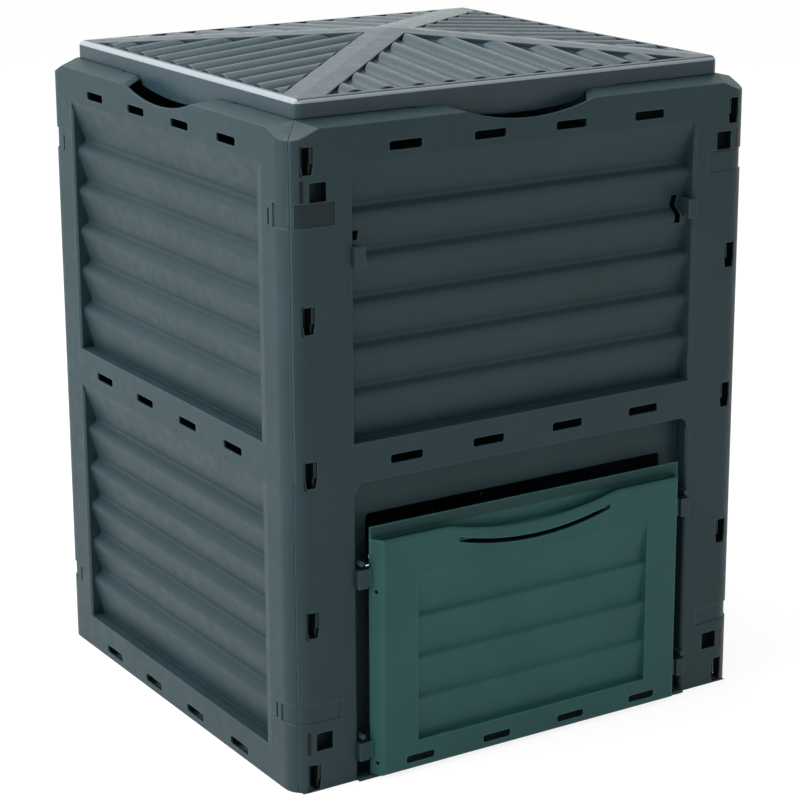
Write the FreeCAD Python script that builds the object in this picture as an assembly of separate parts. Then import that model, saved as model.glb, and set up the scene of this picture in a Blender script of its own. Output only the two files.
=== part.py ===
"""Compost bin with lid: four slotted wall panels, a lift-off hipped lid and a sliding hatch.

Sizes are in millimetres. +Z is up, the front wall faces -Y, the ground is z = 0, and the origin is
the middle of the whole object's footprint. Each wall is drawn as a front wall, with u along it, depth
measured inwards from its outer plane, and is then turned to its side of the bin.
"""
import FreeCAD, Part
import math
import os

from FreeCAD import Vector

# Body
body_width = 620.0
body_depth = 586.0
skin = 3.0
corner_radius = 25.0
seam_gap = 0.4
ledge_z = 750.0
shoulder_drop = 6.0
lid_inset = 27.0
corner_facet_drop = 17.0

# Collar inside the lid
collar_gap = 5.0
collar_wall = 4.0
collar_height = 11.0

# Slatted fields of the walls
front_stile = 81.0
side_stile = 64.0
upper_field_z = (395.0, 704.0)
lower_field_z = (41.0, 350.0)
slat_pitch = 50.0
slat_groove_depth = 18.0
slat_crest_depth = 5.5
slat_step = 9.0
slat_crest_radius = 8.0
slat_groove_radius = 4.0
field_chamfer = 2.5

# Ventilation slots
slot_length = 42.0
slot_height = 10.0
slot_corner = 3.0
slot_pitch = 108.6
slot_rows_z = (12.0, 370.0, 717.0)

# Corner joints between the walls
key_slot_z = (17.0, 197.0, 369.0, 540.0, 711.0)
key_slot_from_corner = 25.4
key_slot_width = 14.5
key_slot_foot_width = 10.5
key_slot_height = 29.6
latch_hole_z = (58.0, 677.0)
latch_hole_from_corner = 38.0
latch_hole_size = 21.0
strap_bands_z = ((81.0, 102.0), (640.0, 666.0))
strap_reach = 59.0
strap_side_reach = 30.0
strap_depth = 1.5
strap_eye_from_corner = 39.0
strap_eye_width = 3.5
strap_eye_height = 19.0
flange_wall = 4.0
flange_reach = 52.0
flange_gap = 0.6
flange_bottom_z = 2.0
flange_top_z = 728.0
finger_width = 3.5
finger_gap = 0.5
window_gap = 1.5
pocket_depth = 18.0

# Doorway in its recess, and hatch
recess_depth = 21.0
recess_corner = 12.0
doorway_side = 24.0
doorway_z = (14.0, 305.0)
hatch_overlap = 9.0
hatch_lean = 10.0
hatch_proud = 17.0
hatch_top_z = 284.0
hatch_wall = 3.5
hatch_edge_radius = 4.0
hatch_gap = 0.8
rest_gap = 0.3
foot_height = 4.0
foot_reach = 5.0
foot_length = 30.0
hatch_stile = 44.0
hatch_field_z = (38.0, 238.0)
hatch_slat_pitch = 49.0
hatch_groove_depth = 8.5
hatch_crest_depth = 2.5
hatch_slat_step = 5.0
hatch_crest_radius = 4.0
hatch_groove_radius = 2.0
scoop_width = 240.0
scoop_depth = 15.0
scoop_shoulder_radius = 60.0
back_lip_height = 14.0
trough_depth = 17.5
handle_slot_width = 210.0
handle_slot_height = 6.0
handle_slot_below_scoop = 14.0
hatch_slot_pitch = 104.5
hatch_slot_length = 38.0
hatch_slot_height = 9.0
hatch_slot_z = 17.0
tab_width = 8.0
tab_wall = 2.5
tab_shorter = 1.0
hatch_travel = 363.0

# Guides of the hatch
low_guide_z = (25.0, 46.0)
mid_guide_z = (229.0, 251.0)
guide_gap = 0.8
guide_lip = 2.5
guide_overlap = 4.0
peg_radius = 3.0
peg_over_guide = 7.5
parking_slot_width = 9.0
parking_slot_from_stile = 12.0
parking_hole_from_stile = 3.0
parking_slot_height = 32.0
parking_hole_height = 11.0
parking_rise = 3.0
hatch_hole_radius = 2.5
hatch_hole_from_wall = 8.0
hatch_hole_below_peg = 35.0

# Lid
lid_wall = 3.0
lid_rim_height = 21.0
lid_corner_radius = 10.0
lid_lip_width = 10.0
lid_edge_radius = 6.0
lid_crown = 24.0
roof_wall = 3.5
roof_drop = 5.0
band_width = 46.0
band_proud = 6.0
lid_rib_pitch = 40.0
lid_rib_foot = 28.0
lid_rib_height = 6.0
lid_rib_margin = 5.0
grip_width = 270.0
grip_depth = 18.5
grip_gap = 3.0
grip_notch_width = 202.0
grip_notch_depth = 20.0

# Places that follow from the sizes above
shell_y = hatch_proud / 2
half_width = body_width / 2
half_depth = body_depth / 2
hatch_bottom_z = foot_height + rest_gap
front_half = half_width - front_stile
side_half = half_depth - side_stile
doorway_half = front_half - doorway_side
hatch_half = doorway_half + hatch_overlap
hatch_front_half = hatch_half - hatch_lean
skirt_inner = lid_inset + lid_wall
collar_outer = skirt_inner + collar_gap
mouth_inset = collar_outer + collar_wall
lid_bottom_z = ledge_z + rest_gap
lid_top_z = lid_bottom_z + lid_rim_height
overshoot = 1.0


def box(x0, x1, y0, y1, z0, z1):
    return Part.makeBox(x1 - x0, y1 - y0, z1 - z0, Vector(x0, y0, z0))


def prism(points, direction):
    """Solid swept from a closed polygon of 3-D points along a direction."""
    corners = [Vector(*point) for point in points]
    wire = Part.makePolygon(corners + [corners[0]])
    return Part.Face(wire).extrude(Vector(*direction))


def flat_faced(polygons):
    """Solid bounded by flat polygons."""
    faces = [Part.Face(Part.makePolygon(polygon + [polygon[0]])) for polygon in polygons]
    return Part.Solid(Part.Shell(faces))


def fused(shapes):
    first = shapes[0]
    if len(shapes) == 1:
        return first
    return first.multiFuse(list(shapes[1:]))


def rounded_wire(half_x, half_y, radius, z):
    """Closed rectangle wire with round corners, centred on the Z axis."""
    mid = radius * (1 - math.sqrt(0.5))
    arcs = []
    for sx, sy in ((1, -1), (1, 1), (-1, 1), (-1, -1)):
        first = Vector(sx * (half_x - radius), sy * half_y, z)
        middle = Vector(sx * (half_x - mid), sy * (half_y - mid), z)
        last = Vector(sx * half_x, sy * (half_y - radius), z)
        if sx * sy > 0:
            first, last = last, first
        arcs.append((first, middle, last))
    edges = []
    for index, (first, middle, last) in enumerate(arcs):
        following = arcs[(index + 1) % len(arcs)][0]
        edges.append(Part.Arc(first, middle, last).toShape())
        edges.append(Part.LineSegment(last, following).toShape())
    return Part.Wire(edges)


def rounded_block(half_x, half_y, radius, z0, z1):
    return Part.Face(rounded_wire(half_x, half_y, radius, z0)).extrude(Vector(0, 0, z1 - z0))


def ring(half_x, half_y, inset_out, inset_in, radius, z0, z1):
    """Upright rectangular ring between two insets from the given half sizes."""
    outer = rounded_block(half_x - inset_out, half_y - inset_out, radius, z0, z1)
    inner_radius = max(radius - (inset_in - inset_out), 1.0)
    inner = rounded_block(half_x - inset_in, half_y - inset_in, inner_radius, z0 - overshoot, z1 + overshoot)
    return outer.cut(inner)


def half_moon(width, depth, y0, y1, top_z):
    """Segment of a disc that hangs below top_z, seen from the front."""
    first = Vector(-width / 2, y0, top_z)
    last = Vector(width / 2, y0, top_z)
    bottom = Vector(0, y0, top_z - depth)
    wire = Part.Wire([Part.Arc(first, bottom, last).toShape(), Part.LineSegment(last, first).toShape()])
    return Part.Face(wire).extrude(Vector(0, y1 - y0, 0))


def rounded_slot(u, z, length, height, radius, y0, y1):
    """Cutter for a slot with round corners through a plate that faces -Y."""
    flat = rounded_block(length / 2, height / 2, radius, 0, y1 - y0)
    flat.rotate(Vector(0, 0, 0), Vector(1, 0, 0), 90)
    flat.translate(Vector(u, y1, z))
    return flat


def segment_radius(foot, height):
    return (foot * foot / 4 + height * height) / (2 * height)


def slot_places(pitch, length, half_room):
    """Evenly spaced middles of as many slots as fit between -half_room and half_room."""
    count = int((2 * half_room - length) / pitch) + 1
    return [(index - (count - 1) / 2) * pitch for index in range(count)]


def corner_facet(half_x, half_y, drop, inset):
    """Cutter that slopes the top of one corner down to the vertical edge, at +X +Y."""
    run_start = corner_radius * (math.sqrt(2) - 1)
    run_end = lid_inset * math.sqrt(2)
    slope = drop / (run_end - run_start)
    reach = 80.0
    low_z = ledge_z - drop - inset - (run_start + reach) * slope
    high_z = low_z + 2 * reach * slope
    section = [(reach, -2 * reach, low_z), (-reach, -2 * reach, high_z),
               (-reach, -2 * reach, high_z + reach), (reach, -2 * reach, high_z + reach)]
    cutter = prism(section, (0, 4 * reach, 0))
    cutter.rotate(Vector(0, 0, 0), Vector(0, 0, 1), 45)
    cutter.translate(Vector(half_x, half_y, 0))
    return cutter


def envelope(half_x, half_y, inset):
    """Body volume inside the outer surface, moved inwards by inset, with its sloped shoulder."""
    x = half_x - inset
    y = half_y - inset
    radius = max(corner_radius - inset, 1.0)
    top_z = ledge_z - inset
    shoulder_z = top_z - shoulder_drop
    lower = rounded_block(x, y, radius, 0, shoulder_z)
    wires = [rounded_wire(x, y, radius, shoulder_z),
             rounded_wire(x - lid_inset, y - lid_inset, max(radius - lid_inset, 1.0), top_z)]
    solid = lower.fuse(Part.makeLoft(wires, True, True))
    facet = corner_facet(half_x, half_y, corner_facet_drop, inset)
    cutters = [facet, facet.mirror(Vector(0, 0, 0), Vector(1, 0, 0)),
               facet.mirror(Vector(0, 0, 0), Vector(0, 1, 0))]
    cutters.append(cutters[1].mirror(Vector(0, 0, 0), Vector(0, 1, 0)))
    return solid.cut(cutters)


def mitred_region(half_x, half_y, shift, z1):
    """Volume that belongs to the front wall, bounded by planes at 45 degrees at the corners."""
    reach = 70.0
    shift = shift * math.sqrt(0.5)
    points = [(-half_x - reach + shift, -half_y - reach, -overshoot),
              (-half_x + reach + shift, -half_y + reach, -overshoot),
              (half_x - reach - shift, -half_y + reach, -overshoot),
              (half_x + reach - shift, -half_y - reach, -overshoot)]
    return prism(points, (0, 0, z1 + 2 * overshoot))


def wall_skin(half_x, half_y):
    """Outer skin of a wall with its ledge, its collar and the grip notch."""
    collar_top = ledge_z + collar_height
    shell = envelope(half_x, half_y, 0).cut(envelope(half_x, half_y, skin))
    mouth = rounded_block(half_x - mouth_inset, half_y - mouth_inset, lid_corner_radius,
                          ledge_z - 3 * skin, collar_top + overshoot)
    collar = ring(half_x, half_y, collar_outer, mouth_inset, lid_corner_radius + collar_wall,
                  ledge_z - skin, collar_top)
    solid = shell.cut(mouth).fuse(collar)
    solid = solid.common(mitred_region(half_x, half_y, seam_gap, collar_top))
    back_y = -half_y + collar_outer - rest_gap
    notch = half_moon(grip_notch_width, grip_notch_depth, -half_y - overshoot, back_y, ledge_z)
    way = half_moon(grip_width + 4 * grip_gap, grip_depth + grip_gap, -half_y + lid_inset - overshoot, back_y,
                    ledge_z)
    return solid.cut([notch, way])


def set_back(line, distance):
    """Line at a constant distance behind a line of (depth, z) points that runs downwards."""
    normals = []
    for (depth, z), (next_depth, next_z) in zip(line, line[1:]):
        length = math.hypot(next_depth - depth, next_z - z)
        normals.append(((z - next_z) / length, (next_depth - depth) / length))
    moved = []
    for (depth, z), before, after in zip(line, normals[:1] + normals, normals + normals[-1:]):
        reach = distance / (1 + before[0] * after[0] + before[1] * after[1])
        moved.append((depth + reach * (before[0] + after[0]), z + reach * (before[1] + after[1])))
    return moved


def slat_line(z_range, pitch, groove_depth, crest_depth, step):
    """Outer line of a field of slats from its top down: each leans in to a groove, the last to a ledge."""
    z0, z1 = z_range
    line = [(0, z1)]
    for number in range(1, max(round((z1 - z0) / pitch), 1)):
        groove_z = z1 - number * pitch
        line += [(groove_depth, groove_z), (crest_depth, groove_z - step)]
    return line + [(groove_depth, z0), (0, z0)]


def rounded_edges(solid, radius, y, above_z):
    """Solid with its edges along X that lie at the given y, above the given height, made round."""
    edges = [edge for edge in solid.Edges
             if all(abs(vertex.Y - y) < rest_gap for vertex in edge.Vertexes)
             and edge.BoundBox.ZMin > above_z + rest_gap and edge.BoundBox.XLength > edge.Length / 2]
    return solid.makeFillet(radius, edges)


def slatted_tray(front_y, half_length, line, radii, wall):
    """Sheet of slats with end walls, let into a plate whose outer plane is at front_y.

    The radii are those of the crests and of the grooves.
    """
    top_z = line[0][1]
    bottom_z = line[-1][1]
    edge = 2 * wall
    back = set_back([(0, top_z + edge)] + line + [(0, bottom_z - edge)], wall)
    outline = [(0, top_z + edge)] + back + [(0, bottom_z - edge)]
    tray = prism([(-half_length - wall, front_y + depth, z) for depth, z in outline],
                 (2 * (half_length + wall), 0, 0))
    outline = line + [(-overshoot, bottom_z), (-overshoot, top_z)]
    recess = prism([(-half_length, front_y + depth, z) for depth, z in outline], (2 * half_length, 0, 0))
    groove_depth, crest_depth = line[1][0], line[2][0]
    recess = rounded_edges(recess, radii[0], front_y + crest_depth, bottom_z)
    recess = rounded_edges(recess, radii[1], front_y + groove_depth, bottom_z)
    return tray.cut(recess)


def bevels(front_y, half_length, z0, z1, size):
    """Cutters that bevel the upright edges of a field."""
    cutters = []
    for side in (-1, 1):
        inner = side * (half_length - overshoot)
        outer = side * (half_length + size + overshoot)
        section = [(inner, front_y - overshoot, z0), (outer, front_y - overshoot, z0),
                   (inner, front_y + size + overshoot, z0)]
        cutters.append(prism(section, (0, 0, z1 - z0)))
    return cutters


def slatted_field(wall, half_length, half_y, z_range):
    """Put one field of slats into a wall."""
    line = slat_line(z_range, slat_pitch, slat_groove_depth, slat_crest_depth, slat_step)
    tray = slatted_tray(-half_y, half_length, line, (slat_crest_radius, slat_groove_radius), skin)
    window = box(-half_length, half_length, -half_y - overshoot, -half_y + skin + overshoot, *z_range)
    bevel_top = z_range[1] - slat_pitch * (field_chamfer + overshoot) / slat_groove_depth
    cutters = bevels(-half_y, half_length, z_range[0], bevel_top, field_chamfer)
    return wall.cut(window).fuse(tray).cut(cutters)


def vent_row(half_length, half_y, z):
    """Cutters for one row of ventilation slots."""
    y0 = -half_y - overshoot
    y1 = -half_y + skin + overshoot
    places = slot_places(slot_pitch, slot_length, half_length)
    return [rounded_slot(u, z, slot_length, slot_height, slot_corner, y0, y1) for u in places]


def strap_bands(half_x, half_y, reach):
    """Cutters for the shallow bands round both edges of a wall."""
    cutters = []
    for z0, z1 in strap_bands_z:
        around = ring(half_x, half_y, -overshoot, strap_depth, corner_radius + overshoot, z0, z1)
        middle = box(-half_x + reach, half_x - reach, -half_y - 2 * overshoot, half_y + 2 * overshoot, z0, z1)
        cutters.append(around.cut(middle))
    return cutters


def strap_eyes(half_x, half_y):
    """Cutters for the narrow upright slots beside the bands of a side wall."""
    cutters = []
    for side in (-1, 1):
        middle = side * (half_x - strap_eye_from_corner)
        cutters += [box(middle - strap_eye_width / 2, middle + strap_eye_width / 2, -half_y - overshoot,
                        -half_y + skin + overshoot, z0, z0 + strap_eye_height) for z0, z1 in strap_bands_z]
    return cutters


def key_slot(u, z, y0, y1):
    """Cutter for the slot that takes a hook: straight sides that close in over the lower part."""
    top = key_slot_width / 2
    foot = key_slot_foot_width / 2
    half_height = key_slot_height / 2
    bend = -key_slot_height / 8
    outline = [(-foot, -half_height), (foot, -half_height), (top, bend), (top, half_height),
               (-top, half_height), (-top, bend)]
    return prism([(u + x, y0, z + dz) for x, dz in outline], (0, y1 - y0, 0))


def joint_cutters():
    """Key slots and latch holes at both edges of a slotted wall."""
    y0 = -half_depth - overshoot
    y1 = -half_depth + skin + overshoot
    cutters = []
    for side in (-1, 1):
        slot_u = side * (half_width - key_slot_from_corner)
        hole_u = side * (half_width - latch_hole_from_corner)
        cutters += [key_slot(slot_u, z, y0, y1) for z in key_slot_z]
        cutters += [rounded_slot(hole_u, z, latch_hole_size, latch_hole_size, slot_corner / 2, y0, y1)
                    for z in latch_hole_z]
    return cutters


def slotted_wall(lower_field):
    """Front or back wall, drawn as the front one."""
    wall = wall_skin(half_width, half_depth)
    wall = slatted_field(wall, front_half, half_depth, upper_field_z)
    cutters = joint_cutters() + strap_bands(half_width, half_depth, strap_reach)
    for z in slot_rows_z[1:]:
        cutters += vent_row(front_half, half_depth, z)
    if lower_field:
        wall = slatted_field(wall, front_half, half_depth, lower_field_z)
        cutters += vent_row(front_half, half_depth, slot_rows_z[0])
    return wall.cut(cutters)


def edge_flange(half_x, half_y):
    """Flange at the left end of a side wall, behind the neighbour's skin.

    It carries the hooks, and closes each slot and hole of the neighbour with a pocket.
    """
    clear = skin + flange_gap
    corner_x = -half_x
    corner_y = -half_y
    back = clear + flange_wall
    elbow = corner_radius * 0.6
    outline = [(0, 0), (elbow * 2, 0), (elbow * 2, 2 * skin), (elbow, elbow), (back, corner_radius + 2),
               (back, flange_reach), (0, flange_reach)]
    points = [(corner_x + dx, corner_y + dy, flange_bottom_z) for dx, dy in outline]
    flange = prism(points, (0, 0, flange_top_z - flange_bottom_z))
    slot_near = key_slot_from_corner - key_slot_width / 2
    slot_far = key_slot_from_corner + key_slot_width / 2
    hole_far = latch_hole_from_corner + latch_hole_size / 2
    hole_near = latch_hole_from_corner - latch_hole_size / 2
    cutters = []
    arms = []
    fingers = []
    for z in key_slot_z:
        half_height = key_slot_height / 2 + window_gap
        cutters.append(box(corner_x + skin, corner_x + elbow + skin, corner_y + slot_near - window_gap,
                           corner_y + slot_far + window_gap, z - half_height, z + half_height))
        finger_y = corner_y + slot_far - finger_gap
        fingers.append(box(corner_x + skin / 4, corner_x + back, finger_y - finger_width, finger_y,
                           z - key_slot_height / 8 + finger_gap, z + key_slot_height / 2 - finger_gap))
        far_y = corner_y + slot_far + window_gap + flange_wall
        arms.append(box(corner_x + clear, corner_x + pocket_depth, finger_y - finger_width, far_y,
                        z - half_height, z + half_height))
        arms.append(box(corner_x + pocket_depth - skin, corner_x + pocket_depth,
                        corner_y + slot_near - window_gap, far_y, z - half_height, z + half_height))
    for z in latch_hole_z:
        half_size = latch_hole_size / 2 + window_gap
        near_y = corner_y + hole_near - window_gap
        far_y = corner_y + hole_far + window_gap
        cutters.append(box(corner_x + skin, corner_x + elbow + skin, near_y, far_y,
                           z - half_size, z + half_size))
        pocket = box(corner_x + clear, corner_x + pocket_depth, near_y - skin, far_y + skin,
                     z - half_size - skin, z + half_size + skin)
        arms.append(pocket.cut(box(corner_x, corner_x + pocket_depth - skin, near_y, far_y,
                                   z - half_size, z + half_size)))
    own_half = mitred_region(half_x, half_y, seam_gap, ledge_z)
    allowed = fused([own_half, envelope(half_x, half_y, clear)]).common(envelope(half_x, half_y, skin / 4))
    return flange.cut(cutters).multiFuse(arms).common(allowed).multiFuse(fingers)


def side_wall():
    """Left or right wall, drawn as a front wall whose width is the body's depth."""
    wall = wall_skin(half_depth, half_width)
    wall = slatted_field(wall, side_half, half_width, upper_field_z)
    wall = slatted_field(wall, side_half, half_width, lower_field_z)
    cutters = strap_eyes(half_depth, half_width)
    for z in slot_rows_z:
        cutters += vent_row(side_half, half_width, z)
    wall = wall.cut(cutters)
    left_end = edge_flange(half_depth, half_width)
    right_end = left_end.mirror(Vector(0, 0, 0), Vector(1, 0, 0))
    return wall.multiFuse([left_end, right_end]).cut(strap_bands(half_depth, half_width, strap_side_reach))


def guide(side, z_range, with_peg):
    """Lug beside the hatch whose lip runs over a tab of the hatch, with a peg above it."""
    z0, z1 = z_range
    tab_u = hatch_half + tab_width
    post_u = tab_u + guide_gap
    floor_y = -half_depth + recess_depth
    lip_back = -half_depth - hatch_gap - tab_wall - guide_gap
    lip_front = lip_back - guide_lip
    pieces = [box(post_u, front_half + skin / 2, lip_front, floor_y + skin / 2, z0, z1),
              box(tab_u - guide_overlap, front_half, lip_front, lip_back, z0, z1)]
    if with_peg:
        start = Vector(post_u + peg_radius, floor_y + skin / 2, z1 + peg_over_guide)
        pieces.append(Part.makeCylinder(peg_radius, start.y - lip_front, start, Vector(0, -1, 0)))
    if side < 0:
        pieces = [piece.mirror(Vector(0, 0, 0), Vector(1, 0, 0)) for piece in pieces]
    return pieces


def parking_slots(guide_top):
    """Cutters beside the upper guides: a hole over the left one and a long slot along the right one."""
    hole_u = front_half - parking_hole_from_stile
    slot_u = front_half - parking_slot_from_stile
    y0 = -half_depth - overshoot
    y1 = -half_depth + slat_groove_depth + 2 * skin
    hole_z = guide_top + parking_rise
    return [box(-hole_u, -hole_u + parking_slot_width, y0, y1, hole_z, hole_z + parking_hole_height),
            box(slot_u - parking_slot_width, slot_u, y0, y1, hole_z - parking_slot_height, hole_z)]


def make_front_wall():
    wall = slotted_wall(False)
    recess_top = lower_field_z[1]
    floor_y = -half_depth + recess_depth
    below = 2 * recess_corner
    pocket = rounded_slot(0, (recess_top - below) / 2, 2 * front_half, recess_top + below, recess_corner,
                          -half_depth - overshoot, floor_y)
    doorway_low, doorway_high = doorway_z
    doorway = rounded_slot(0, (doorway_low + doorway_high) / 2, 2 * doorway_half, doorway_high - doorway_low,
                           2 * slot_corner, floor_y - overshoot, floor_y + skin + overshoot)
    tray = box(-front_half - skin, front_half + skin, -half_depth, floor_y + skin, 0, recess_top + skin)
    edges = bevels(-half_depth, front_half, -overshoot, recess_top - recess_corner, field_chamfer)
    wall = wall.cut(pocket).fuse(tray.cut([pocket, doorway])).cut(edges)
    high_guide_z = [z + hatch_travel for z in mid_guide_z]
    wall = wall.cut(parking_slots(high_guide_z[1]))
    extras = []
    for side in (-1, 1):
        extras += guide(side, low_guide_z, True) + guide(side, mid_guide_z, True)
        extras += guide(side, high_guide_z, False)
        near_u, far_u = sorted((side * (front_half + skin / 2), side * (front_half - foot_length)))
        extras.append(box(near_u, far_u, -half_depth - foot_reach, floor_y + skin / 2, 0, foot_height))
    return wall.multiFuse(extras)


def crescent(width, height, depth, y0, y1, top_z):
    """Cutter for a thin slot that follows the scoop's curve."""
    upper = half_moon(width, depth, y0, y1, top_z)
    lower = half_moon(width, depth, y0, y1, top_z - height)
    band = box(-width / 2, width / 2, y0, y1, top_z - height, top_z)
    return fused([lower, band]).cut(upper)


def flared_block(back_u, front_u, back_y, front_y, z0, z1):
    """Block whose sides lean in from the back to the front."""
    section = [(-back_u, back_y, z0), (back_u, back_y, z0), (front_u, front_y, z0), (-front_u, front_y, z0)]
    return prism(section, (0, 0, z1 - z0))


def hatch_side_holes():
    """Cutters for the small round holes in the hatch's sides, each below a peg of the wall."""
    cutters = []
    length = hatch_wall + hatch_lean + 2 * overshoot
    for guide_top in (low_guide_z[1], mid_guide_z[1]):
        hole_z = guide_top + peg_over_guide - hatch_hole_below_peg
        for side in (-1, 1):
            start = Vector(side * (hatch_half + overshoot), -half_depth - hatch_hole_from_wall, hole_z)
            cutters.append(Part.makeCylinder(hatch_hole_radius, length, start, Vector(-side, 0, 0)))
    return cutters


def hatch_block(front_y, back_y):
    """Flared box of the hatch, with the scoop in the top of its front plate and its front edges round."""
    block = flared_block(hatch_half, hatch_front_half, back_y, front_y, hatch_bottom_z, hatch_top_z)
    block = block.cut(half_moon(scoop_width, scoop_depth + overshoot, front_y - overshoot,
                                front_y + hatch_wall + overshoot, hatch_top_z + overshoot))
    shoulders = [edge for edge in block.Edges
                 if edge.BoundBox.ZMin > hatch_top_z - rest_gap and edge.BoundBox.XLength < rest_gap
                 and abs(edge.BoundBox.XMin) < scoop_width / 2]
    block = block.makeFillet(scoop_shoulder_radius, shoulders)
    front_edges = [edge for edge in block.Edges
                   if all(abs(vertex.Y - front_y) < rest_gap for vertex in edge.Vertexes)]
    return block.makeFillet(hatch_edge_radius, front_edges)


def make_hatch():
    front_y = -half_depth - hatch_proud
    back_y = -half_depth - hatch_gap
    inner_back = hatch_half - hatch_wall
    inner_front = hatch_front_half - hatch_wall
    block = hatch_block(front_y, back_y)
    plate_back = front_y + hatch_wall
    trough_floor_z = hatch_top_z - trough_depth
    lip_front = back_y - tab_wall
    hollow_z = (hatch_bottom_z + hatch_wall, trough_floor_z - hatch_wall)
    hollow = flared_block(inner_back, inner_front, back_y, plate_back, *hollow_z)
    trough = flared_block(inner_back, inner_front, lip_front, plate_back, trough_floor_z,
                          hatch_top_z + overshoot)
    block = block.cut([hollow, trough])
    extras = [box(-hatch_half, hatch_half, lip_front, back_y, trough_floor_z, hatch_top_z + back_lip_height)]
    for z0, z1 in (low_guide_z, mid_guide_z):
        for side in (-1, 1):
            near_u, far_u = sorted((side * inner_back, side * (hatch_half + tab_width)))
            extras.append(box(near_u, far_u, lip_front, back_y, z0 + tab_shorter, z1 - tab_shorter))
    half_field = hatch_front_half - hatch_stile
    line = slat_line(hatch_field_z, hatch_slat_pitch, hatch_groove_depth, hatch_crest_depth, hatch_slat_step)
    radii = (hatch_crest_radius, hatch_groove_radius)
    extras.append(slatted_tray(front_y, half_field, line, radii, hatch_wall))
    window = box(-half_field, half_field, front_y - overshoot, plate_back + overshoot, *hatch_field_z)
    block = block.cut(window).multiFuse(extras)
    cut_back = plate_back + overshoot
    cutters = [crescent(handle_slot_width, handle_slot_height, scoop_depth, front_y - overshoot, cut_back,
                        hatch_top_z - handle_slot_below_scoop)]
    for u in slot_places(hatch_slot_pitch, hatch_slot_length, hatch_front_half):
        cutters.append(rounded_slot(u, hatch_slot_z, hatch_slot_length, hatch_slot_height, slot_corner,
                                    front_y - overshoot, cut_back))
    return block.cut(cutters + hatch_side_holes())


def roof(half_x, half_y, base_z, apex_z):
    """Four-sided pyramid over a rectangle."""
    corners = [Vector(sx * half_x, sy * half_y, base_z) for sx, sy in ((-1, -1), (1, -1), (1, 1), (-1, 1))]
    apex = Vector(0, 0, apex_z)
    sides = [[corners[number], corners[(number + 1) % 4], apex] for number in range(4)]
    return flat_faced([corners] + sides)


def lid_ribs(half_x, half_y, base_z, apex_z, shrink):
    """Ribs of the front sector, or their hollows where shrink is the wall over a hollow.

    They run from the front lip up the slope to the crossing bands.
    """
    rise = apex_z - base_z
    length = math.hypot(half_y, rise)
    radius = segment_radius(lid_rib_foot, lid_rib_height)
    direction = Vector(0, half_y, rise)
    normal = Vector(0, -rise, half_y)
    normal.normalize()
    sink = normal * (lid_rib_height - radius)
    margin = lid_rib_margin + shrink
    count = int((half_x - band_width) / lid_rib_pitch)
    ribs = []
    for index in range(-count, count + 1):
        start = Vector(index * lid_rib_pitch, -half_y, base_z) + sink
        ribs.append(Part.makeCylinder(radius - shrink, length, start, direction))
    low_z = base_z - 2 * roof_wall
    sector = prism([(-half_x + margin, -half_y + margin, low_z), (half_x - margin, -half_y + margin, low_z),
                    (0, 0, low_z)], (0, 0, 3 * lid_crown))
    sector = sector.cut(band_region(half_x, half_y, band_width / 2 + margin / 2))
    return [rib.common(sector) for rib in ribs]


def band_region(half_x, half_y, half_band):
    """Upright volumes over the two diagonals of the lid."""
    slabs = []
    long_z = 4 * ledge_z
    for sign in (-1, 1):
        direction = Vector(half_x, sign * half_y, 0)
        direction.normalize()
        across = Vector(-direction.y, direction.x, 0) * half_band
        reach = direction * (math.hypot(half_x, half_y) + half_band)
        corners = [-reach - across, reach - across, reach + across, -reach + across]
        slabs.append(prism([(c.x, c.y, 0) for c in corners], (0, 0, long_z)))
    return fused(slabs)


def on_all_sides(front_shapes, side_shapes):
    """Copies of shapes made for the front and, drawn as front ones, for the left side."""
    shapes = list(front_shapes)
    shapes += [turned(shape, 180) for shape in front_shapes]
    shapes += [turned(shape, -90) for shape in side_shapes]
    shapes += [turned(shape, 90) for shape in side_shapes]
    return shapes


def grip(half_span):
    """Half-moon tab that hangs from the front of the rim."""
    outer = -half_span
    inner = outer + lid_wall
    tab = half_moon(grip_width, grip_depth, outer, inner, lid_bottom_z)
    return tab.fuse(box(-grip_width / 2, grip_width / 2, outer, inner, lid_bottom_z, lid_bottom_z + lid_wall))


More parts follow.
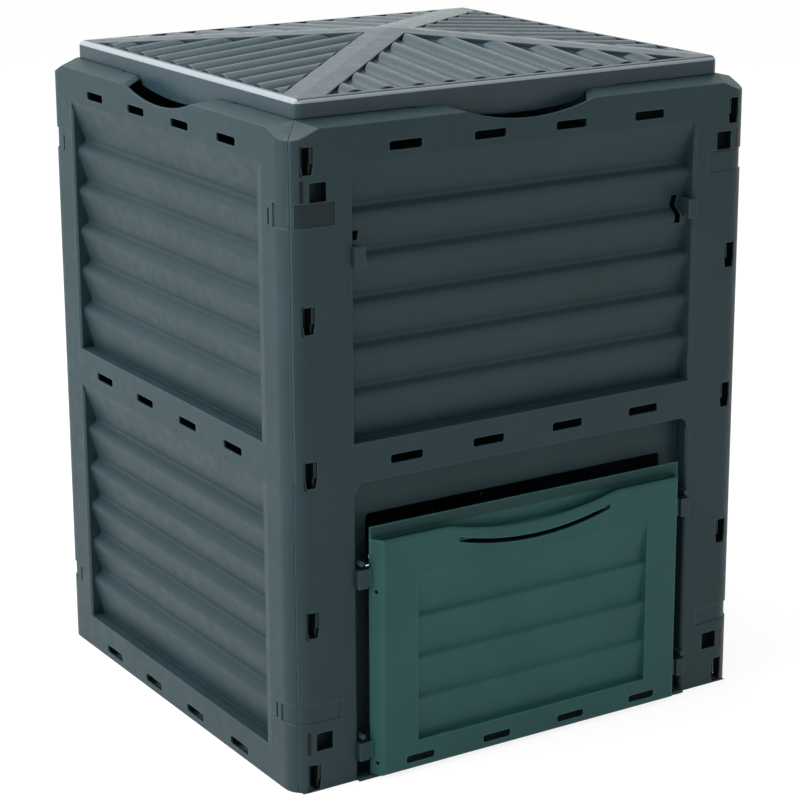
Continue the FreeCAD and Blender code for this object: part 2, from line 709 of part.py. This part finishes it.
def make_lid():
    rim_x = half_width - lid_inset
    rim_y = half_depth - lid_inset
    base_z = lid_top_z - roof_drop
    apex_z = lid_top_z + lid_crown - band_proud
    roof_x = rim_x - lid_lip_width
    roof_y = rim_y - lid_lip_width
    rim = rounded_block(rim_x, rim_y, lid_corner_radius, lid_bottom_z, lid_top_z)
    top_edges = [edge for edge in rim.Edges if edge.BoundBox.ZMin > lid_top_z - rest_gap]
    rim = rim.makeFillet(lid_edge_radius, top_edges)
    rim = rim.cut([rounded_block(rim_x - lid_wall, rim_y - lid_wall, lid_corner_radius - lid_wall,
                                 lid_bottom_z - overshoot, lid_top_z - lid_edge_radius),
                   rounded_block(rim_x - lid_lip_width, rim_y - lid_lip_width, overshoot,
                                 lid_bottom_z, lid_top_z + overshoot)])
    curb = ring(rim_x, rim_y, lid_lip_width - lid_wall, lid_lip_width, lid_corner_radius / 2,
                base_z - roof_wall, lid_top_z)
    under = roof(roof_x, roof_y, base_z - roof_wall, apex_z - roof_wall)
    plate = box(-roof_x, roof_x, -roof_y, roof_y, base_z - roof_wall, base_z)
    top = fused([plate, roof(roof_x, roof_y, base_z, apex_z)]).cut(under)
    raised = roof(roof_x + lid_wall, roof_y + lid_wall, lid_top_z, apex_z + band_proud)
    raised = raised.fuse(box(-roof_x - lid_wall, roof_x + lid_wall, -roof_y - lid_wall, roof_y + lid_wall,
                             base_z, lid_top_z))
    bands = raised.cut(roof(roof_x, roof_y, base_z - roof_wall / 2, apex_z - roof_wall / 2))
    bands = bands.common(band_region(rim_x, rim_y, band_width / 2))
    below_roof = fused([under, box(-roof_x, roof_x, -roof_y, roof_y, ledge_z, base_z - roof_wall)])
    ribs = on_all_sides(lid_ribs(roof_x, roof_y, base_z, apex_z, 0),
                        lid_ribs(roof_y, roof_x, base_z, apex_z, 0))
    ribs = [rib.cut(below_roof) for rib in ribs]
    hollows = on_all_sides(lid_ribs(roof_x, roof_y, base_z, apex_z, lid_wall),
                           lid_ribs(roof_y, roof_x, base_z, apex_z, lid_wall))
    solid = rim.multiFuse([curb, top, bands] + ribs).cut(hollows)
    return solid.multiFuse(on_all_sides([grip(rim_y)], [grip(rim_x)]))


def turned(shape, angle):
    copy = shape.copy()
    copy.rotate(Vector(0, 0, 0), Vector(0, 0, 1), angle)
    return copy


def main():
    os.makedirs("parts", exist_ok=True)
    side = side_wall()
    pieces = {
        "front_wall": make_front_wall(),
        "back_wall": turned(slotted_wall(True), 180),
        "left_wall": turned(side, -90),
        "right_wall": turned(side, 90),
        "hatch": make_hatch(),
        "lid": make_lid(),
    }
    for name, shape in pieces.items():
        shape.translate(Vector(0, shell_y, 0))
        solids = shape.Solids
        if len(solids) != 1 or not shape.isValid():
            print("check", name, len(solids), shape.isValid(), [round(s.Volume) for s in solids])
        shape.exportStep(f"parts/{name}.step")
        bounds = shape.BoundBox
        print(name, round(shape.Volume / 1000), "cm3", [round(v, 1) for v in (
            bounds.XMin, bounds.XMax, bounds.YMin, bounds.YMax, bounds.ZMin, bounds.ZMax)])


main()
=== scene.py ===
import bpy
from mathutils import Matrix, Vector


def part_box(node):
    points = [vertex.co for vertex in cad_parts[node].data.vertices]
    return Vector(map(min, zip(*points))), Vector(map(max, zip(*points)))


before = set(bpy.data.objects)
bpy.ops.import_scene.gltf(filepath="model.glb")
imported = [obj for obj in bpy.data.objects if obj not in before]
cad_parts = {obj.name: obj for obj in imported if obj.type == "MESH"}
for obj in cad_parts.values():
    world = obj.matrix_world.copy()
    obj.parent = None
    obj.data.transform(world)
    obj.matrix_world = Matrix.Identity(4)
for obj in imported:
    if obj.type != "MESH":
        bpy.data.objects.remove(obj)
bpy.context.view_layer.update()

import bpy
from mathutils import Matrix, Vector

# Camera, fitted on the slots and corners of the bin: metres, and pixels of the 800 pixel frame
FRAME_PX = 800
FOCAL_PX = 2419.4
PRINCIPAL_Y_PX = 350
SENSOR_MM = 36
CAMERA_PLACE = (-1.5162, -2.4203, 1.1848)
CAMERA_RIGHT = (0.84572, -0.53361, -0.00386)
CAMERA_DOWN = (-0.14438, -0.22186, -0.96433)
CAMERA_FORWARD = (0.51372, 0.81611, -0.26467)
NEAREST_SEEN = 0.05
FARTHEST_SEEN = 200

# Lamps: name, place, point that it faces, sides of its rectangle, and watts
LAMPS = (
    ("key_left", (-3.4, 0.1, 1.7), (0, 0, 0.45), (2.2, 2.2), 100),
    ("top", (-0.8, 0.8, 3.2), (0, 0, 0.6), (2.6, 2.6), 90),
    ("fill_front", (0.8, -4.0, 1.5), (0, 0, 0.4), (2.4, 2.4), 8),
)

# Strength of the white world as light on the object. The camera and reflections see it at full strength
AMBIENT = 0.45
WHITE = (1, 1, 1, 1)

# Floor: half its side, the stretch of it inside the walls and under the front wall as low and high X and Y,
# and the greys of that stretch, darkened as painted shade, and of the rest. The rest has a glow that only
# the camera and reflections see
FLOOR_HALF = 30.0
SHADED_FLOOR = ((-0.30, -0.2845), (0.30, 0.295))
SHADED_GREY = 0.2
FLOOR_GREY = 0.88
GLOW_STRENGTH = 1.2
GLOW_SHARE = 0.72

# Linear colours of the moulded plastics
BODY_COLOUR = (0.0165, 0.037, 0.0435)
LID_COLOUR = (0.020, 0.043, 0.055)
HATCH_COLOUR = (0.018, 0.078, 0.074)

# Noises of the plastics: scale per metre, detail and roughness
CLOUDS = (9.0, 4.0, 0.6)
MOTTLE = (60.0, 3.0, 0.6)
SCUFFS = (240.0, 4.0, 0.7)
GRAIN = (700.0, 2.0, 0.6)

# Values of those noises between which each one takes effect
CLOUD_RANGE = (0.3, 0.7)
MOTTLE_RANGE = (0.35, 0.75)
MOTTLE_ROUGH_RANGE = (0.3, 0.7)
SCUFF_RANGE = (0.35, 0.6)

# Brightness against the plastic's own colour: both ends of the clouds, the mottle and the most of it that
# shows, the painted shade in crevices, and the paler edges, painted highlight broken up by wear
CLOUD_SHADES = (0.90, 1.12)
MOTTLE_SHADE = 1.25
MOTTLE_SHARE = 0.35
CREVICE_PAINTED_SHADE = 0.45
EDGE_HIGHLIGHT = 2.6

# Painted shade in crevices, and painted highlight on corners that stand free: reach of the test for open
# space, and the openness between which the look changes
CREVICE_REACH = 0.05
CREVICE_OPENNESS = (0.05, 0.5)
CORNER_REACH = 0.02
CORNER_OPENNESS = (0.55, 0.8)
OPENNESS_SAMPLES = 8

# Paler edges, a painted highlight broken up by scuffs of wear: radius, cosines of the turn between which
# they appear, how much of them the scuffs leave at least, and how much smoother they are
EDGE_RADIUS = 0.0022
EDGE_SAMPLES = 6
EDGE_COSINES = (0.995, 0.90)
SCUFF_LEAST = 0.5
EDGE_SMOOTHER = 0.08

# Relief of the skin: strength of the flow waves, and the heights of the waves and of the grain
WAVE_STRENGTH = 0.25
WAVE_HEIGHT = 0.0010
GRAIN_HEIGHT = 0.0003

# Places painted with light or shade, in metres: a painted highlight line beside the side walls' fields,
# painted shade in the pockets behind the slots and holes, a painted highlight on the lid's rounded edge and
# painted shade on the upper side of the hatch. Their X and Y are distances from the line that from_middle
# takes, so that each place is there on both sides
FIELD_EDGE_X = (0.308, 0.311)
FIELD_EDGE_Y = (0.2295, 0.237)
FIELDS_Z = ((0.395, 0.704), (0.041, 0.350))
POCKET_X = (0.258, 0.2935)
POCKET_Y = (0.272, 0.2893)
KEY_SLOT_HEIGHTS = (0.017, 0.197, 0.369, 0.540, 0.711)
KEY_SLOT_REACH = 0.0165
LATCH_HOLE_HEIGHTS = (0.058, 0.677)
LATCH_HOLE_REACH = 0.0135
LID_EDGE_X = (0.2775, 0.3)
LID_EDGE_Y = (0.2605, 0.3)
LID_EDGE_Z = (0.7665, 0.772)
LID_WHOLE = (0, 0.3)
HATCH_WHOLE_X = (0, 0.3)
HATCH_WHOLE_Y = (0, 0.4)
HATCH_TOP_Z = (0.2845, 0.4)

# Linear colours of those places, painted highlight and painted shade, and of the two below
# Painted highlight: the pale line beside the fields and down the near corner
PAINTED_HIGHLIGHT_LINE = (0.030, 0.052, 0.060, 1)
# Painted shade: near black in the pockets behind the slots and holes
POCKET_SHADE = (0.002, 0.004, 0.005, 1)
# Painted highlight along the lid's rounded edge
LID_EDGE_HIGHLIGHT = (0.28, 0.32, 0.35, 1)
# Painted shade on the upper side of the hatch
HATCH_TOP_SHADE = (0.010, 0.042, 0.040, 1)
# Painted shade on the strap patch by the near corner
STRAP_SHADE = (0.008, 0.018, 0.021, 1)

# Places in the object's own frame: painted shade on the strap patch by the near corner, and a painted
# highlight line down that corner
STRAP_BOX = ((-0.2985, -0.251), (-0.288, -0.277), (0.640, 0.666))
CORNER_HIGHLIGHT_BOX = ((-0.304, -0.298), (-0.279, -0.272), (0.36, 0.735))


def zone(x, y, z, colour):
    """Box from its ranges in X, Y and Z: its low corner, its high corner and the colour in it."""
    low, high = zip(x, y, z)
    return low, high, colour


def around(height, reach):
    return height - reach, height + reach


def body_tones():
    """Zones of the walls that are there on both sides: painted highlight lines and painted shade in the
    pockets.
    """
    tones = [zone(FIELD_EDGE_X, FIELD_EDGE_Y, field_z, PAINTED_HIGHLIGHT_LINE) for field_z in FIELDS_Z]
    pockets = [around(z, KEY_SLOT_REACH) for z in KEY_SLOT_HEIGHTS]
    pockets += [around(z, LATCH_HOLE_REACH) for z in LATCH_HOLE_HEIGHTS]
    return tones + [zone(POCKET_X, POCKET_Y, pocket_z, POCKET_SHADE) for pocket_z in pockets]


def linked(tree, source, target):
    tree.links.new(source, target)


def node(tree, kind, **settings):
    """New shader node: inputs are given by name with spaces as underscores, properties in lower case."""
    made = tree.nodes.new(kind)
    for key, value in settings.items():
        name = key.replace("_", " ")
        if name in made.inputs:
            made.inputs[name].default_value = value
        else:
            setattr(made, key, value)
    return made


def combined(tree, kind, operation, first, second):
    """Math node of the given kind that takes two sockets."""
    made = node(tree, kind, operation=operation)
    linked(tree, first, made.inputs[0])
    linked(tree, second, made.inputs[1])
    return made


def multiplied(tree, first, second):
    return combined(tree, "ShaderNodeMath", "MULTIPLY", first, second).outputs[0]


def mapped(tree, value, low, high, to_low, to_high):
    """Map a value from low..high to to_low..to_high, clamped."""
    made = tree.nodes.new("ShaderNodeMapRange")
    linked(tree, value, made.inputs["Value"])
    for name, number in (("From Min", low), ("From Max", high), ("To Min", to_low), ("To Max", to_high)):
        made.inputs[name].default_value = number
    return made.outputs["Result"]


def mixed(tree, factor, first, second):
    """Mix two colours; each is a socket or a linear colour."""
    made = tree.nodes.new("ShaderNodeMix")
    made.data_type = "RGBA"
    for socket, value in ((made.inputs[0], factor), (made.inputs[6], first), (made.inputs[7], second)):
        if isinstance(value, bpy.types.NodeSocket):
            linked(tree, value, socket)
        else:
            socket.default_value = value
    return made.outputs[2]


def shade(colour, factor):
    """The colour times a factor, with an alpha of 1."""
    return tuple(channel * factor for channel in colour) + (1,)


def noise(tree, place, scale, detail, roughness):
    made = node(tree, "ShaderNodeTexNoise", Scale=scale, Detail=detail, Roughness=roughness)
    linked(tree, place, made.inputs["Vector"])
    return made.outputs["Fac"]


def within(tree, place, low, high):
    """1 where each coordinate lies between its low and high value, 0 elsewhere."""
    split = tree.nodes.new("ShaderNodeSeparateXYZ")
    linked(tree, place, split.inputs[0])
    inside = None
    for axis, least, most in zip(("X", "Y", "Z"), low, high):
        near = node(tree, "ShaderNodeMath", operation="COMPARE")
        linked(tree, split.outputs[axis], near.inputs[0])
        near.inputs[1].default_value = (least + most) / 2
        near.inputs[2].default_value = (most - least) / 2
        inside = near.outputs[0] if inside is None else multiplied(tree, inside, near.outputs[0])
    return inside


def from_middle(tree, place):
    """Z, and the distances in X and Y from the upright line midway between guides and back face."""
    middle_y = (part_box("front_wall")[0][1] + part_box("back_wall")[1][1]) / 2
    moved = node(tree, "ShaderNodeVectorMath", operation="SUBTRACT")
    linked(tree, place, moved.inputs[0])
    moved.inputs[1].default_value = (0, middle_y, 0)
    size = node(tree, "ShaderNodeVectorMath", operation="ABSOLUTE")
    linked(tree, moved.outputs[0], size.inputs[0])
    return size.outputs[0]


def openness(tree, reach):
    """1 where nothing stands within reach in front of the surface, down to 0 in a crevice."""
    made = node(tree, "ShaderNodeAmbientOcclusion", Distance=reach, samples=OPENNESS_SAMPLES)
    return made.outputs["AO"]


def skin_colour(tree, place, colour, clouds, mottle, tones, marks):
    """Colour of the plastic with its clouds, mottle, zones of painted highlight and painted shade, and
    painted shade in crevices.
    """
    clouded = mapped(tree, clouds, *CLOUD_RANGE, 0, 1)
    base = mixed(tree, clouded, *[shade(colour, factor) for factor in CLOUD_SHADES])
    mottled = mapped(tree, mottle, *MOTTLE_RANGE, 0, MOTTLE_SHARE)
    base = mixed(tree, mottled, base, shade(colour, MOTTLE_SHADE))
    zones = [(from_middle(tree, place), *tone) for tone in tones] + [(place, *mark) for mark in marks]
    for where, low, high, painted_colour in zones:
        base = mixed(tree, within(tree, where, low, high), base, painted_colour)
    # Painted shade: the colour darkens where the test finds little open space
    crevice = mapped(tree, openness(tree, CREVICE_REACH), *CREVICE_OPENNESS, 0, 1)
    return mixed(tree, crevice, shade(colour, CREVICE_PAINTED_SHADE), base)


def edge_highlight_and_wear(tree, place, rounded):
    """Up to 1 on edges that stand free, where a highlight is painted, broken up by scuffs of wear, and 0
    elsewhere.
    """
    geometry = tree.nodes.new("ShaderNodeNewGeometry")
    turn = combined(tree, "ShaderNodeVectorMath", "DOT_PRODUCT", rounded, geometry.outputs["Normal"])
    edge = mapped(tree, turn.outputs["Value"], *EDGE_COSINES, 0, 1)
    free = mapped(tree, openness(tree, CORNER_REACH), *CORNER_OPENNESS, 0, 1)
    worn = mapped(tree, noise(tree, place, *SCUFFS), *SCUFF_RANGE, SCUFF_LEAST, 1)
    return multiplied(tree, multiplied(tree, edge, free), worn)


def bumped(tree, height, strength, distance, normal):
    """The normal, tilted by a relief of the given strength and height."""
    made = node(tree, "ShaderNodeBump", Strength=strength, Distance=distance)
    linked(tree, height, made.inputs["Height"])
    linked(tree, normal, made.inputs["Normal"])
    return made.outputs["Normal"]


def plastic(name, colour, rough, specular=0.2, grain=0.22, tones=(), marks=()):
    """Moulded polypropylene: fine spark-eroded grain, faint flow clouds, painted highlight and wear on
    edges.
    """
    material = bpy.data.materials.new(name)
    material.use_nodes = True
    tree = material.node_tree
    shader = tree.nodes["Principled BSDF"]
    shader.inputs["Specular IOR Level"].default_value = specular
    place = tree.nodes.new("ShaderNodeTexCoord").outputs["Object"]
    clouds = noise(tree, place, *CLOUDS)
    mottle = noise(tree, place, *MOTTLE)
    rounded = node(tree, "ShaderNodeBevel", Radius=EDGE_RADIUS, samples=EDGE_SAMPLES).outputs["Normal"]

    base = skin_colour(tree, place, colour, clouds, mottle, tones, marks)
    # Painted highlight on free edges, partly broken up by wear
    highlight_and_wear = edge_highlight_and_wear(tree, place, rounded)
    linked(tree, mixed(tree, highlight_and_wear, base, shade(colour, EDGE_HIGHLIGHT)), shader.inputs["Base Color"])

    dull = mapped(tree, mottle, *MOTTLE_ROUGH_RANGE, *rough)
    smoother = mapped(tree, highlight_and_wear, 0, 1, 0, EDGE_SMOOTHER)
    roughness = combined(tree, "ShaderNodeMath", "SUBTRACT", dull, smoother)
    linked(tree, roughness.outputs[0], shader.inputs["Roughness"])

    waves = bumped(tree, clouds, WAVE_STRENGTH, WAVE_HEIGHT, rounded)
    bump = bumped(tree, noise(tree, place, *GRAIN), grain, GRAIN_HEIGHT, waves)
    linked(tree, bump, shader.inputs["Normal"])
    return material


def dress(node_name, material):
    """Give a CAD node its material."""
    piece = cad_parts[node_name]
    for slot in piece.material_slots:
        slot.material = material
    if not piece.material_slots:
        piece.data.materials.append(material)


def outside_bin(tree):
    """0 on the shaded floor, 1 elsewhere."""
    place = tree.nodes.new("ShaderNodeTexCoord").outputs["Object"]
    return mapped(tree, within(tree, place, *SHADED_FLOOR), 0, 1, 1, 0)


def ray_factor(tree):
    """1 for camera, glossy and transmission rays."""
    path = tree.nodes.new("ShaderNodeLightPath")
    total = path.outputs["Is Camera Ray"]
    for other in ("Is Glossy Ray", "Is Transmission Ray"):
        total = combined(tree, "ShaderNodeMath", "MAXIMUM", total, path.outputs[other]).outputs[0]
    return total


def make_world():
    world = bpy.data.worlds.new("studio")
    bpy.context.scene.world = world
    world.use_nodes = True
    tree = world.node_tree
    background = tree.nodes["Background"]
    background.inputs["Color"].default_value = WHITE
    linked(tree, mapped(tree, ray_factor(tree), 0, 1, AMBIENT, 1), background.inputs["Strength"])


def floor_material():
    """Pale matte grey, with painted shade under the bin, and a glow outside it that casts no light."""
    material = bpy.data.materials.new("pale_floor")
    material.use_nodes = True
    tree = material.node_tree
    tree.nodes.remove(tree.nodes["Principled BSDF"])
    outside = outside_bin(tree)
    matte = node(tree, "ShaderNodeBsdfDiffuse")
    linked(tree, mapped(tree, outside, 0, 1, SHADED_GREY, FLOOR_GREY), matte.inputs["Color"])
    glow = node(tree, "ShaderNodeEmission", Color=WHITE, Strength=GLOW_STRENGTH)
    blend = tree.nodes.new("ShaderNodeMixShader")
    seen = multiplied(tree, mapped(tree, ray_factor(tree), 0, 1, 0, GLOW_SHARE), outside)
    for socket, source in zip(blend.inputs, (seen, matte.outputs[0], glow.outputs[0])):
        linked(tree, source, socket)
    linked(tree, blend.outputs[0], tree.nodes["Material Output"].inputs["Surface"])
    return material


def make_floor():
    """Plain pale floor, seen as almost white outside the bin, that keeps the object's shadow."""
    mesh = bpy.data.meshes.new("floor")
    corners = [(-FLOOR_HALF, -FLOOR_HALF, 0), (FLOOR_HALF, -FLOOR_HALF, 0),
               (FLOOR_HALF, FLOOR_HALF, 0), (-FLOOR_HALF, FLOOR_HALF, 0)]
    mesh.from_pydata(corners, [], [(0, 1, 2, 3)])
    floor = bpy.data.objects.new("floor", mesh)
    bpy.context.scene.collection.objects.link(floor)
    mesh.materials.append(floor_material())


def make_lamp(name, place, aim, size, watts):
    data = bpy.data.lights.new(name, "AREA")
    data.shape = "RECTANGLE"
    data.size, data.size_y = size
    data.energy = watts
    lamp = bpy.data.objects.new(name, data)
    lamp.location = place
    lamp.rotation_mode = "QUATERNION"
    lamp.rotation_quaternion = (Vector(aim) - Vector(place)).to_track_quat("-Z", "Y")
    bpy.context.scene.collection.objects.link(lamp)


def make_camera():
    data = bpy.data.cameras.new("camera")
    data.sensor_width = SENSOR_MM
    data.lens = FOCAL_PX / FRAME_PX * SENSOR_MM
    data.shift_y = (PRINCIPAL_Y_PX - FRAME_PX / 2) / FRAME_PX
    data.clip_start = NEAREST_SEEN
    data.clip_end = FARTHEST_SEEN
    camera = bpy.data.objects.new("camera", data)
    rows = zip(CAMERA_RIGHT, [-v for v in CAMERA_DOWN], [-v for v in CAMERA_FORWARD], CAMERA_PLACE)
    camera.matrix_world = Matrix([list(row) for row in rows] + [[0, 0, 0, 1]])
    bpy.context.scene.collection.objects.link(camera)
    bpy.context.scene.camera = camera


def dress_body():
    # Painted shade on the strap patch, and a painted highlight line down the near corner
    marks = [zone(*STRAP_BOX, STRAP_SHADE), zone(*CORNER_HIGHLIGHT_BOX, PAINTED_HIGHLIGHT_LINE)]
    body_plastic = plastic("body_plastic", BODY_COLOUR, rough=(0.40, 0.54), tones=body_tones(), marks=marks)
    for wall in ("front_wall", "back_wall", "left_wall", "right_wall"):
        dress(wall, body_plastic)


def dress_lid():
    # Painted highlight along the lid's rounded edge, all round
    edges = [zone(LID_EDGE_X, LID_WHOLE, LID_EDGE_Z, LID_EDGE_HIGHLIGHT),
             zone(LID_WHOLE, LID_EDGE_Y, LID_EDGE_Z, LID_EDGE_HIGHLIGHT)]
    lid_plastic = plastic("lid_plastic", LID_COLOUR, rough=(0.24, 0.36), specular=0.3, grain=0.10,
                          tones=edges)
    dress("lid", lid_plastic)


def dress_hatch():
    # Painted shade on the hatch's upper side
    upper_shade = zone(HATCH_WHOLE_X, HATCH_WHOLE_Y, HATCH_TOP_Z, HATCH_TOP_SHADE)
    hatch_plastic = plastic("hatch_plastic", HATCH_COLOUR, rough=(0.42, 0.56), tones=[upper_shade])
    dress("hatch", hatch_plastic)


make_camera()
make_world()
make_floor()
for lamp in LAMPS:
    make_lamp(*lamp)
dress_body()
dress_lid()
dress_hatch()

bpy.context.scene.view_settings.view_transform = "Standard"
